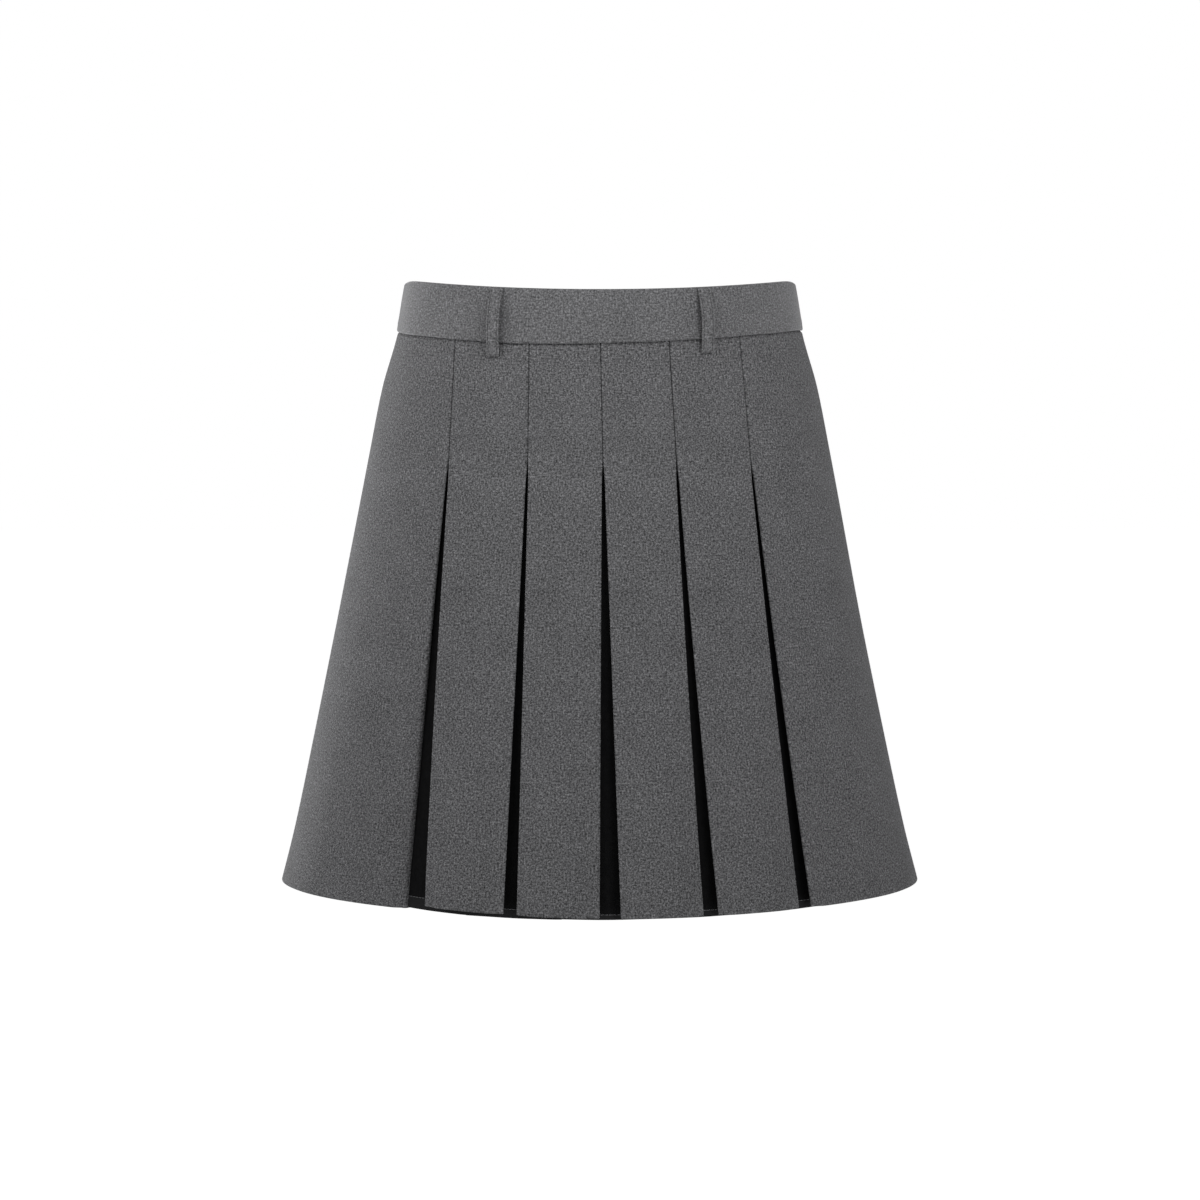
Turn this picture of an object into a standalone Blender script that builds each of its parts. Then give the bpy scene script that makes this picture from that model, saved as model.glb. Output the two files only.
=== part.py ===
"""Pleated mini skirt of grey wool twill, filled out as when it is worn, at its real size.

+Z is up, the wearer faces -Y and +X is the wearer's left. The origin is the middle of the
waistband. Lengths in the tables are millimetres; MM turns them into metres.

The skirt is six gores in front and six behind on a two-piece waistband. Beside each of the ten
pleats the gores fold back behind themselves, and a black inlay joins the two returns. The pleats
are stitched shut below the waistband and open from there to the hem.
"""

from collections import namedtuple
from functools import lru_cache
import math

import bmesh
import bpy
from mathutils import Matrix, Vector
import numpy as np

MM = 0.001

# Cloth thicknesses, and the gap left between pieces at a seam
GORE_CLOTH = 1.2
INLAY_CLOTH = 1.0
BAND_CLOTH = 2.4
LOOP_CLOTH = 1.6
TAPE_CLOTH = 1.0
GAP = 0.3
WAIST_GAP = 0.75  # wider between middle lines where the walls lean and their edges come closer
SIDE_GAP = 0.5
INLAY_GAP = 0.45

# Heights, measured at the side of the body
BAND_TOP = 19.3
BAND_BOTTOM = -13.3
STITCHES_END = -91.0
HEM = -374.0
INLAY_HEM = -375.8
GORE_ROWS = (BAND_BOTTOM - WAIST_GAP, -50.0, STITCHES_END, -150.0, -212.0, -280.0, -340.0, HEM)

# The outer face of the gores: one superellipse for each height
Level = namedtuple("Level", "height half_width front back power")
FORM = (
    Level(HEM, 209.8, 145.0, 152.0, 1.80),
    Level(-340.0, 200.9, 138.5, 147.0, 1.83),
    Level(-280.0, 187.6, 129.0, 139.5, 1.88),
    Level(-212.0, 173.6, 119.5, 132.0, 1.93),
    Level(-150.0, 161.5, 111.5, 125.0, 1.97),
    Level(STITCHES_END, 149.9, 104.0, 117.0, 2.00),
    Level(-50.0, 141.5, 98.0, 108.0, 2.05),
    Level(BAND_BOTTOM, 131.2, 92.0, 98.0, 2.08),
    Level(BAND_TOP, 125.6, 87.5, 91.5, 2.10),
)

# How far the waistband's edges dip below their height at the sides, in front and behind
Dip = namedtuple("Dip", "height front back")
DIPS = (
    Dip(STITCHES_END, 0.0, 0.0),
    Dip(BAND_BOTTOM, 6.7, 9.0),
    Dip(BAND_TOP, 5.7, 10.0),
)

# The side seams lie a little behind the widest point of each level
SIDE_SEAM = math.radians(104)

# Pleats in order round the body, as distances to the wearer's left of the centre: at the
# waistband, where the stitching ends, and at the folds before and after the gap at the hem
Pleat = namedtuple("Pleat", "top stitched hem_before hem_after")
FRONT_PLEATS = (
    Pleat(-91.4, -96.2, -126.8, -111.8),
    Pleat(-44.4, -45.6, -60.2, -52.8),
    Pleat(0.3, 1.8, 0.0, 12.2),
    Pleat(43.4, 48.3, 65.4, 74.2),
    Pleat(88.5, 95.6, 126.6, 134.0),
)
BACK_PLEATS = (
    Pleat(90.0, 96.0, 126.0, 116.0),
    Pleat(44.5, 46.5, 65.0, 56.0),
    Pleat(0.0, 0.0, 5.5, -5.0),
    Pleat(-44.0, -46.0, -57.0, -66.0),
    Pleat(-90.5, -96.5, -117.0, -127.0),
)

# How far each gore's edges sink behind the form at the hem, and how high its hem's corners lift
Set = namedtuple("Set", "sink_first sink_last lift_first lift_last")
FRONT_SETS = (
    Set(0.0, 7.5, 0.0, -1.2),
    Set(1.5, 1.2, 2.9, 1.6),
    Set(1.0, 1.0, 1.3, 0.6),
    Set(1.2, 1.0, 0.2, 0.2),
    Set(1.0, 1.8, 0.2, 0.2),
    Set(1.5, 0.0, 0.2, 0.0),
)
BACK_SETS = (
    Set(0.0, 3.0, 0.0, 0.3),
    Set(1.5, 1.2, 1.2, 0.6),
    Set(1.0, 1.4, 0.4, 0.8),
    Set(1.2, 1.0, 0.6, 0.2),
    Set(1.4, 1.6, 0.2, 0.4),
    Set(2.5, 0.0, 0.3, 0.0),
)
SINK_REACH = 0.45  # share of a gore's width over which its edge sinks

# Each return runs back from its fold. Two returns of one gore stop short of meeting behind it
RETURN_WIDTH = 26.0
RETURN_SHORT = 0.7
RETURN_OPENS = 6.0
RETURN_BEND = 1.3
FOLD_RADIUS = 0.8

# Facets across one section
FOLD_STEPS = 3
RETURN_STEPS = 3
INLAY_STEPS = 6
GORE_FACET = 13.0
BAND_STEPS = 24
RULER_STEPS = 900

# The waistband stands proud of the gores, and parts at the top of the zip in a small V
BAND_PROUD = 0.6
NOTCH_HEIGHT = 4.0
NOTCH_HALF_WIDTH = 2.0

# Belt loops: distance from the centre at each end, and how far the strip's middle line stands
# off the gores along its length
Loop = namedtuple("Loop", "name behind top bottom")
LOOPS = (
    Loop("belt_loop_front_left", False, -64.9, -67.1),
    Loop("belt_loop_front_right", False, 64.9, 67.4),
    Loop("belt_loop_back_left", True, 62.0, 64.0),
    Loop("belt_loop_back_right", True, -62.0, -64.0),
)
Stand = namedtuple("Stand", "share off")
LOOP_STANDS = (
    Stand(0.00, 1.7),
    Stand(0.08, 1.8),
    Stand(0.18, 2.8),
    Stand(0.30, 3.7),
    Stand(0.45, 4.1),
    Stand(0.58, 3.9),
    Stand(0.70, 3.1),
    Stand(0.80, 2.2),
    Stand(0.90, 1.5),
    Stand(1.00, 1.1),
)
LOOP_WIDTH = 8.0
LOOP_BOTTOM = -22.0

# Concealed zip in the wearer's left side seam. Sizes across are along the seam's own axes:
# x along the waist, y out of the cloth, z up the cloth
TAPE_WIDTH = 24.0
TAPE_TOP = 8.0
TAPE_ROWS = (TAPE_TOP, -13.3, -30.0, -60.0, -100.0, -140.0, -178.0)
TAPE_STEPS = 4
TAPE_BEHIND_BAND = 3.1
TAPE_BEHIND_GORES = 2.5
PIN_HEIGHT = 12.5
PIN_OUT = 2.5
PIN_RADIUS = 0.45
SLIDER_BODY = (5.6, 2.5, 7.0)
SLIDER_IN = 3.8
NECK_WIDTH = 1.0
EYE_RADIUS = 1.6
EYE_HOLE_RADIUS = 0.85
PULL_THICKNESS = 1.0
PULL_SLOT_HALF_WIDTH = 0.8
PULL_SLOT_BOTTOM = -1.95
Width = namedtuple("Width", "up half")
PULL_OUTLINE = (Width(0.9, 1.7), Width(-2.6, 1.7), Width(-6.0, 1.5), Width(-17.5, 3.0))
PULL_END_STEPS = 8
ROUND_SIDES = 16
CUT_PAST = 1.0


def clear_scene():
    for old in list(bpy.data.objects):
        bpy.data.objects.remove(old, do_unlink=True)


def make_collection(name):
    collection = bpy.data.collections.new(name)
    bpy.context.scene.collection.children.link(collection)
    return collection


def make_material(name, colour, roughness, metallic=0.0):
    material = bpy.data.materials.new(name)
    material.use_nodes = True
    shader = material.node_tree.nodes["Principled BSDF"]
    shader.inputs["Base Color"].default_value = (*colour, 1.0)
    shader.inputs["Roughness"].default_value = roughness
    shader.inputs["Metallic"].default_value = metallic
    return material


# The form, and where things lie on it


def column(rows, height, name):
    """One column of a table of heights, read between its rows."""
    return float(np.interp(height, [row.height for row in rows], [getattr(row, name) for row in rows]))


@lru_cache(maxsize=None)
def level_at(height):
    return Level(height, *(column(FORM, height, name) for name in Level._fields[1:]))


def signed_power(value, power):
    return math.copysign(abs(value) ** power, value)


def spot(height, turn, inset=0.0):
    """The point of the form at a height and a turn from the centre front, moved in by inset."""
    level = level_at(height)
    behind = math.cos(turn) < 0
    depth = level.back if behind else level.front
    x = level.half_width * signed_power(math.sin(turn), 2 / level.power)
    y = -depth * signed_power(math.cos(turn), 2 / level.power)
    out = Vector((
        signed_power(x / level.half_width, level.power - 1) / level.half_width,
        signed_power(y / depth, level.power - 1) / depth,
        0.0,
    )).normalized()
    dip = column(DIPS, height, "back" if behind else "front") * math.cos(turn) ** 2
    return (Vector((x, y, height - dip)) - inset * out) * MM


@lru_cache(maxsize=None)
def ruler(height):
    """Turns round one level and the length of cloth to each, both counted from the centre front."""
    turns = np.linspace(-math.pi, 2 * math.pi, RULER_STEPS + 1)
    points = np.array([spot(height, turn) for turn in turns])[:, :2] / MM
    steps = np.hypot(*np.diff(points, axis=0).T)
    along = np.concatenate([[0.0], np.cumsum(steps)])
    return turns, along - np.interp(0.0, turns, along)


def along_at(height, turn):
    turns, along = ruler(height)
    return float(np.interp(turn, turns, along))


def turn_at(height, distance):
    turns, along = ruler(height)
    return float(np.interp(distance, along, turns))


def turn_of_x(height, x, behind):
    """The turn at a distance x to the wearer's left, on the front or the back."""
    level = level_at(height)
    turn = math.asin(signed_power(x / level.half_width, level.power / 2))
    return math.pi - turn if behind else turn


def opened(height):
    """0 where the stitching ends or above, 1 at the hem."""
    return min(max((STITCHES_END - height) / (STITCHES_END - HEM), 0.0), 1.0)


def pleat_distance(height, pleat, at_hem, behind):
    """Length of cloth round to a pleat's fold at a height, where at_hem is that fold's place at the hem."""
    heights = (HEM, STITCHES_END, BAND_BOTTOM)
    x = float(np.interp(height, heights, (at_hem, pleat.stitched, pleat.top)))
    return along_at(height, turn_of_x(height, x, behind))


# Cloth


def make_sheet(name, rows, thickness, material, collection):
    """A sheet of cloth: a grid of middle-line points, thickened to both sides."""
    across = len(rows[0])
    mesh = bpy.data.meshes.new(name)
    built = bmesh.new()
    points = [[built.verts.new(point) for point in row] for row in rows]
    for lower, upper in zip(points, points[1:]):
        for i in range(across - 1):
            built.faces.new((lower[i], lower[i + 1], upper[i + 1], upper[i]))
    built.to_mesh(mesh)
    built.free()
    mesh.materials.append(material)
    sheet = bpy.data.objects.new(name, mesh)
    collection.objects.link(sheet)
    thicken = sheet.modifiers.new("Cloth", "SOLIDIFY")
    thicken.thickness = thickness * MM
    thicken.offset = 0.0
    thicken.use_even_offset = True
    thicken.use_quality_normals = True
    return sheet


def wing(height, width):
    """A return and its fold, from the free edge to the gore, as (distance from the fold, inset)."""
    opens = RETURN_OPENS * opened(height)
    reach = GAP / 2 + GORE_CLOTH / 2 + FOLD_RADIUS
    points = []
    for step in range(RETURN_STEPS, 0, -1):
        share = step / RETURN_STEPS
        points.append((reach + (width - reach) * share, 2 * FOLD_RADIUS + opens * share**RETURN_BEND))
    for step in range(FOLD_STEPS + 1):
        angle = math.pi * step / FOLD_STEPS
        points.append((reach - FOLD_RADIUS * math.sin(angle), FOLD_RADIUS * (1 + math.cos(angle))))
    return points


class Gore:
    """One gore between two pleats, or between a pleat and a side seam."""

    def __init__(self, name, first, last, sizes, behind):
        self.name, self.first, self.last = name, first, last
        self.sizes, self.behind = sizes, behind

    def edges(self, height):
        """Length of cloth round to the gore's two edges."""
        seams = (SIDE_SEAM, 2 * math.pi - SIDE_SEAM) if self.behind else (-SIDE_SEAM, SIDE_SEAM)
        if self.first:
            start = pleat_distance(height, self.first, self.first.hem_after, self.behind)
        else:
            start = along_at(height, seams[0]) + GAP / 2
        if self.last:
            end = pleat_distance(height, self.last, self.last.hem_before, self.behind)
        else:
            end = along_at(height, seams[1]) - GAP / 2
        return start, end

    def return_width(self, height):
        start, end = self.edges(height)
        return min((end - start) / 2 - RETURN_SHORT, RETURN_WIDTH)

    def sink(self, height, distance):
        """How far the gore lies behind the form at a distance round the body."""
        start, end = self.edges(height)
        reach = SINK_REACH * (end - start)
        first = max(1 - (distance - start) / reach, 0.0) ** 2 * self.sizes.sink_first
        last = max(1 - (end - distance) / reach, 0.0) ** 2 * self.sizes.sink_last
        return opened(height) * (first + last)

    def section(self, height):
        """The gore's middle line at a height, as (distance round the body, inset)."""
        start, end = self.edges(height)
        folded = wing(height, self.return_width(height))
        left = [(start + far, inset) for far, inset in folded] if self.first else [(start, 0.0)]
        right = [(end - far, inset) for far, inset in folded[::-1]] if self.last else [(end, 0.0)]
        low, high = left[-1][0], right[0][0]
        steps = self.steps()
        middle = [(low + (high - low) * step / steps, 0.0) for step in range(1, steps)]
        return [
            (distance, GORE_CLOTH / 2 + inset + self.sink(height, distance))
            for distance, inset in left + middle + right
        ]

    def steps(self):
        start, end = self.edges(HEM)
        return max(round((end - start) / GORE_FACET), 2)

    def rows(self):
        start, end = self.edges(HEM)
        rows = []
        for height in GORE_ROWS:
            row = []
            for distance, inset in self.section(height):
                share = min(max((distance - start) / (end - start), 0.0), 1.0)
                lift = self.sizes.lift_first * (1 - share) + self.sizes.lift_last * share
                raised = height + (lift if height == HEM else 0.0)
                row.append(spot(raised, turn_at(height, distance), inset))
            rows.append(row)
        return rows

    def return_inset(self, height, distance):
        """The inset of the middle line of a return's free edge."""
        opens = RETURN_OPENS * opened(height)
        return GORE_CLOTH / 2 + 2 * FOLD_RADIUS + opens + self.sink(height, distance)


def make_gores(side, pleats, sizes, behind, material, collection):
    """The six gores of the front or the back, in order round the body."""
    bounds = (None, *pleats, None)
    gores = []
    for number, (first, last, size) in enumerate(zip(bounds, bounds[1:], sizes), 1):
        gore = Gore(f"gore_{side}_{number}", first, last, size, behind)
        make_sheet(gore.name, gore.rows(), GORE_CLOTH, material, collection)
        gores.append(gore)
    return gores


def make_inlays(side, gores, material, collection):
    """The black inlay behind each pleat, from one return's free edge to the other's."""
    clear = GORE_CLOTH / 2 + INLAY_GAP + INLAY_CLOTH / 2
    for number, (before, after) in enumerate(zip(gores, gores[1:]), 1):
        rows = []
        for height in GORE_ROWS:
            start = before.edges(height)[1] - before.return_width(height)
            end = after.edges(height)[0] + after.return_width(height)
            insets = (before.return_inset(height, start) + clear, after.return_inset(height, end) + clear)
            row = []
            for step in range(INLAY_STEPS + 1):
                share = step / INLAY_STEPS
                distance = start + (end - start) * share
                inset = insets[0] * (1 - share) + insets[1] * share
                turn = turn_at(height, distance)
                row.append(spot(INLAY_HEM if height == HEM else height, turn, inset))
            rows.append(row)
        make_sheet(f"inlay_{side}_{number}", rows, INLAY_CLOTH, material, collection)


def make_waistband(name, first_seam, last_seam, zip_at, material, collection):
    """Half of the waistband. zip_at is 0 where it starts at the zip and 1 where it ends there."""
    rows = []
    for height in (BAND_BOTTOM, NOTCH_HEIGHT, BAND_TOP):
        parted = NOTCH_HALF_WIDTH if height == BAND_TOP else SIDE_GAP / 2
        starts = along_at(height, first_seam) + (SIDE_GAP / 2 if zip_at else parted)
        ends = along_at(height, last_seam) - (parted if zip_at else SIDE_GAP / 2)
        inset = BAND_CLOTH / 2 - BAND_PROUD
        shares = [step / BAND_STEPS for step in range(BAND_STEPS + 1)]
        rows.append([spot(height, turn_at(height, starts + (ends - starts) * share), inset) for share in shares])
    make_sheet(name, rows, BAND_CLOTH, material, collection)


def make_belt_loop(loop, material, collection):
    """A strip sewn down at both ends that stands off the waistband between them."""
    rows = []
    for share, off in LOOP_STANDS:
        height = BAND_TOP - GAP + (LOOP_BOTTOM - BAND_TOP) * share
        middle = along_at(height, turn_of_x(height, loop.top + (loop.bottom - loop.top) * share, loop.behind))
        sides = (middle - LOOP_WIDTH / 2, middle, middle + LOOP_WIDTH / 2)
        rows.append([spot(height, turn_at(height, side), -off) for side in sides])
    make_sheet(loop.name, rows, LOOP_CLOTH, material, collection)


# Zip


def zip_axes():
    """The frame of the zip pull's pin: x along the waist, y out of the cloth, z up the cloth."""
    up = (spot(PIN_HEIGHT + 1, SIDE_SEAM) - spot(PIN_HEIGHT - 1, SIDE_SEAM)).normalized()
    waistward = spot(PIN_HEIGHT, SIDE_SEAM - 0.01) - spot(PIN_HEIGHT, SIDE_SEAM + 0.01)
    waistward.z = 0.0
    along = waistward.normalized()
    out = up.cross(along).normalized()
    frame = Matrix((along, out, along.cross(out))).transposed().to_4x4()
    pin = spot(PIN_HEIGHT, SIDE_SEAM) + out * PIN_OUT * MM
    return Matrix.Translation(pin) @ frame


def make_zip_tape(material, collection):
    """The closed zip's tape, inside the side seam."""
    rows = []
    for height in TAPE_ROWS:
        middle = along_at(height, SIDE_SEAM)
        inset = TAPE_BEHIND_BAND if height >= BAND_BOTTOM else TAPE_BEHIND_GORES
        if height == TAPE_ROWS[2]:
            inset = (TAPE_BEHIND_BAND + TAPE_BEHIND_GORES) / 2
        places = [middle + TAPE_WIDTH * (step / TAPE_STEPS - 0.5) for step in range(TAPE_STEPS + 1)]
        rows.append([spot(height, turn_at(height, place), inset) for place in places])
    make_sheet("zip_tape", rows, TAPE_CLOTH, material, collection)


def make_block(name, size, centre, collection):
    """A box in the pin's frame, in millimetres."""
    mesh = bpy.data.meshes.new(name)
    built = bmesh.new()
    bmesh.ops.create_cube(built, size=1.0)
    bmesh.ops.scale(built, vec=Vector(size) * MM, verts=built.verts)
    bmesh.ops.translate(built, vec=Vector(centre) * MM, verts=built.verts)
    built.to_mesh(mesh)
    built.free()
    block = bpy.data.objects.new(name, mesh)
    collection.objects.link(block)
    return block


def make_rod(name, radius, length, collection):
    """A round bar along the pin's own axis, centred on it."""
    mesh = bpy.data.meshes.new(name)
    built = bmesh.new()
    bmesh.ops.create_cone(
        built, cap_ends=True, segments=ROUND_SIDES, radius1=radius * MM, radius2=radius * MM,
        depth=length * MM, matrix=Matrix.Rotation(math.pi / 2, 4, "Y"),
    )
    built.to_mesh(mesh)
    built.free()
    rod = bpy.data.objects.new(name, mesh)
    collection.objects.link(rod)
    return rod


def combine(target, other, operation):
    """Joins other to target or cuts it away, and hides other as the helper it is."""
    change = target.modifiers.new(other.name, "BOOLEAN")
    change.operation = operation
    change.object = other
    other.hide_render = True
    other.display_type = "WIRE"


def make_zip_slider(axes, material, collection, helpers):
    """The slider inside the band, with a neck through the notch and an eye for the pull's pin."""
    slider = make_block("zip_slider", SLIDER_BODY, (0.0, -PIN_OUT - SLIDER_IN, 0.0), collection)
    neck_inner = -PIN_OUT - SLIDER_IN
    neck = make_block("neck", (NECK_WIDTH, -neck_inner, 2 * EYE_RADIUS), (0.0, neck_inner / 2, 0.0), helpers)
    combine(slider, neck, "UNION")
    combine(slider, make_rod("eye", EYE_RADIUS, NECK_WIDTH, helpers), "UNION")
    combine(slider, make_rod("eye_hole", EYE_HOLE_RADIUS, NECK_WIDTH + 2 * CUT_PAST, helpers), "DIFFERENCE")
    slider.data.materials.append(material)
    for piece in (slider, neck, bpy.data.objects["eye"], bpy.data.objects["eye_hole"]):
        piece.matrix_world = axes


def pull_outline():
    """Half of the pull's outline, from its top to the point at its round end, as (half width, up)."""
    side = [(width.half, width.up) for width in PULL_OUTLINE]
    radius, centre = side[-1]
    for step in range(1, PULL_END_STEPS):
        angle = math.pi / 2 * step / PULL_END_STEPS
        side.append((radius * math.cos(angle), centre - radius * math.sin(angle)))
    return side + [(0.0, centre - radius)]


def make_zip_pull(axes, material, collection, helpers):
    """The flat pull, forked round the slider's eye and hanging from a pin through it."""
    right = pull_outline()
    outline = right + [(-half, up) for half, up in reversed(right[:-1])]
    mesh = bpy.data.meshes.new("zip_pull")
    built = bmesh.new()
    face = built.faces.new([
        built.verts.new(Vector((x, -PULL_THICKNESS / 2, z)) * MM) for x, z in reversed(outline)
    ])
    deep = bmesh.ops.extrude_face_region(built, geom=[face])["geom"]
    moved = [item for item in deep if isinstance(item, bmesh.types.BMVert)]
    bmesh.ops.translate(built, vec=(0.0, PULL_THICKNESS * MM, 0.0), verts=moved)
    bmesh.ops.recalc_face_normals(built, faces=built.faces)
    built.to_mesh(mesh)
    built.free()
    pull = bpy.data.objects.new("zip_pull", mesh)
    collection.objects.link(pull)
    top = PULL_OUTLINE[0].up + CUT_PAST
    height = top - PULL_SLOT_BOTTOM
    slot_size = (2 * PULL_SLOT_HALF_WIDTH, PULL_THICKNESS + 2 * CUT_PAST, height)
    slot = make_block("pull_slot", slot_size, (0.0, 0.0, top - height / 2), helpers)
    combine(pull, slot, "DIFFERENCE")
    pin = make_rod("pull_pin", PIN_RADIUS, 2 * PULL_OUTLINE[0].half - GAP, helpers)
    combine(pull, pin, "UNION")
    mesh.materials.append(material)
    for piece in (pull, slot, pin):
        piece.matrix_world = axes


def make_skirt():
    clear_scene()
    skirt, helpers = make_collection("pleated_skirt"), make_collection("cutters")
    twill = make_material("grey_wool_twill", (0.105, 0.105, 0.108), 0.9)
    lining = make_material("black_lining", (0.007, 0.007, 0.008), 0.65)
    tape = make_material("zip_tape_cloth", (0.03, 0.03, 0.032), 0.8)
    metal = make_material("gunmetal_zinc", (0.12, 0.12, 0.125), 0.35, 1.0)

    for side, pleats, sizes, behind in (
        ("front", FRONT_PLEATS, FRONT_SETS, False),
        ("back", BACK_PLEATS, BACK_SETS, True),
    ):
        gores = make_gores(side, pleats, sizes, behind, twill, skirt)
        make_inlays(side, gores, lining, skirt)
    make_waistband("waistband_front", -SIDE_SEAM, SIDE_SEAM, 1, twill, skirt)
    make_waistband("waistband_back", SIDE_SEAM, 2 * math.pi - SIDE_SEAM, 0, twill, skirt)
    for loop in LOOPS:
        make_belt_loop(loop, twill, skirt)

    axes = zip_axes()
    make_zip_tape(tape, skirt)
    make_zip_slider(axes, metal, skirt, helpers)
    make_zip_pull(axes, metal, skirt, helpers)

    whole = bpy.data.objects.new("skirt", None)
    skirt.objects.link(whole)
    for piece in skirt.objects:
        if piece != whole:
            piece.parent = whole


make_skirt()
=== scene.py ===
import math
from functools import lru_cache

import bmesh
import bpy
import numpy as np
from mathutils import Matrix, Vector


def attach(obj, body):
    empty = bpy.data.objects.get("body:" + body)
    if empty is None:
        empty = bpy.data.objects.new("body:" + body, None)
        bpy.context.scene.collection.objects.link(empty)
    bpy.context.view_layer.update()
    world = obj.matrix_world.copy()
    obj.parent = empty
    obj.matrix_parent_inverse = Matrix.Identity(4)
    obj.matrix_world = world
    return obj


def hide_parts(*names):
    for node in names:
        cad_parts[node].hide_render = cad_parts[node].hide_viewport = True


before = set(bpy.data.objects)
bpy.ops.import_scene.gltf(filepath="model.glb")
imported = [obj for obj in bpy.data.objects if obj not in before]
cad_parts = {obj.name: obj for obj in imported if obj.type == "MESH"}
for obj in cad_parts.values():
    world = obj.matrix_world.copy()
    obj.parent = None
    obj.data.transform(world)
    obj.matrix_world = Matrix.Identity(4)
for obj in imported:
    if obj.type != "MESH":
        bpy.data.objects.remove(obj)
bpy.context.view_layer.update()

# Pleated mini skirt of grey wool twill, filled out as when it is worn. Z is up, the wearer faces -Y
# and +X is the wearer's left. Sizes are millimetres and mm turns them into metres. An inset is
# a depth behind the outer face, and a distance is a length of cloth round from the centre front.
mm = 0.001

form = {  # the outer face, level by level
    "height": (-374, -340, -280, -212, -150, -91, -50, -13.3, 19.3),
    "halfWidth": (209.8, 200.9, 187.6, 173.6, 161.5, 149.9, 141.5, 131.2, 125.6),
    "front": (145, 138.5, 129, 119.5, 111.5, 104, 98, 92, 87.5),
    "back": (152, 147, 139.5, 132, 125, 117, 108, 98, 91.5),
    "power": (1.80, 1.83, 1.88, 1.93, 1.97, 2.00, 2.05, 2.08, 2.10),
    "dipHeight": (-91, -13.3, 19.3),  # the waist's edges dip in front and behind
    "dipFront": (0, 6.7, 5.7),
    "dipBack": (0, 9.0, 10.0),
    "sideSeam": math.radians(104),
}


def softLine(x, xs, ys):
    # a smooth line through every point that doesn't overshoot between them
    x, xs, ys = np.clip(np.asarray(x, float), xs[0], xs[-1]), np.array(xs, float), np.array(ys, float)
    step = np.diff(xs)
    slope = np.diff(ys) / step
    both, product = slope[:-1] + slope[1:], slope[:-1] * slope[1:]
    inner = np.where(product > 0, 2 * product / np.where(both == 0, 1, both), 0)
    slopes = np.concatenate([[slope[0]], inner, [slope[-1]]])
    i = np.clip(np.searchsorted(xs, x, side="right") - 1, 0, len(step) - 1)
    t = (x - xs[i]) / step[i]
    return (
        ys[i] * (1 + 2 * t) * (1 - t) ** 2
        + slopes[i] * step[i] * t * (1 - t) ** 2
        + ys[i + 1] * t * t * (3 - 2 * t)
        - slopes[i + 1] * step[i] * t * t * (1 - t)
    )


def formAt(height, name, levels="height"):
    return softLine(height, form[levels], form[name])


def signedPower(value, power):
    return np.sign(value) * np.abs(value) ** power


def smoothStep(value):
    value = np.clip(value, 0, 1)
    return value * value * (3 - 2 * value)


def spot(height, turn, inset=0.0):
    # the point at a height, a turn from the centre front and an inset, in metres
    height, turn, inset = np.broadcast_arrays(*(np.asarray(v, float) for v in (height, turn, inset)))
    behind = np.cos(turn) < 0
    halfWidth, power = formAt(height, "halfWidth"), formAt(height, "power")
    depth = np.where(behind, formAt(height, "back"), formAt(height, "front"))
    x = halfWidth * signedPower(np.sin(turn), 2 / power)
    y = -depth * signedPower(np.cos(turn), 2 / power)
    outX = signedPower(x / halfWidth, power - 1) / halfWidth
    outY = signedPower(y / depth, power - 1) / depth
    size = np.hypot(outX, outY)
    dip = np.where(behind, *(formAt(height, name, "dipHeight") for name in ("dipBack", "dipFront")))
    z = height - dip * np.cos(turn) ** 2
    return np.stack([x - inset * outX / size, y - inset * outY / size, z], axis=-1) * mm


def lengthAlong(line):
    steps = np.diff(line, axis=0)
    return np.concatenate([[0.0], np.cumsum(np.sqrt((steps ** 2).sum(axis=1)))])


@lru_cache(maxsize=None)
def ruler(height):
    # the length of cloth round the form at a height, turn by turn
    turns = np.linspace(-math.pi, 2 * math.pi, 1801)
    along = lengthAlong(spot(height, turns)[:, :2] / mm)
    return turns, along - np.interp(0.0, turns, along)


def distanceAt(height, turn):
    return np.interp(turn, *ruler(height))


def turnAt(height, distance):
    return np.interp(distance, *ruler(height)[::-1])


def turnOfX(height, x, behind):
    halfWidth, power = formAt(height, "halfWidth"), formAt(height, "power")
    turn = math.asin(float(signedPower(x / halfWidth, power / 2)))
    return math.pi - turn if behind else turn


# Colours and materials


def toLinear(hexColour):
    parts = [int(hexColour[i:i + 2], 16) / 255 for i in (1, 3, 5)]
    return (*(p / 12.92 if p <= 0.04045 else ((p + 0.055) / 1.055) ** 2.4 for p in parts), 1.0)


def plug(tree, node, inputs):
    # gives each input its value, or links it to a socket
    for name, value in inputs.items():
        if isinstance(value, bpy.types.NodeSocket):
            tree.links.new(value, node.inputs[name])
        else:
            node.inputs[name].default_value = value


def addNode(tree, kind, settings=None, inputs=None):
    node = tree.nodes.new(kind)
    for name, value in (settings or {}).items():
        setattr(node, name, value)
    plug(tree, node, inputs or {})
    return node


def newMaterial(name):
    material = bpy.data.materials.new(name)
    material.use_nodes = True
    return material, material.node_tree, material.node_tree.nodes["Principled BSDF"]


def clothPlane(tree, quarterTurn=False):
    # the flat cut of the cloth in millimetres, with the warp upright unless it is cut across
    place = addNode(tree, "ShaderNodeUVMap", {"uv_map": "cut"})
    scaled = addNode(tree, "ShaderNodeMapping", None, {
        "Vector": place.outputs["UV"], "Scale": (1000, 1000, 1000),
        "Rotation": (0, 0, math.radians(90) if quarterTurn else 0),
    })
    return scaled.outputs["Vector"]


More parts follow.
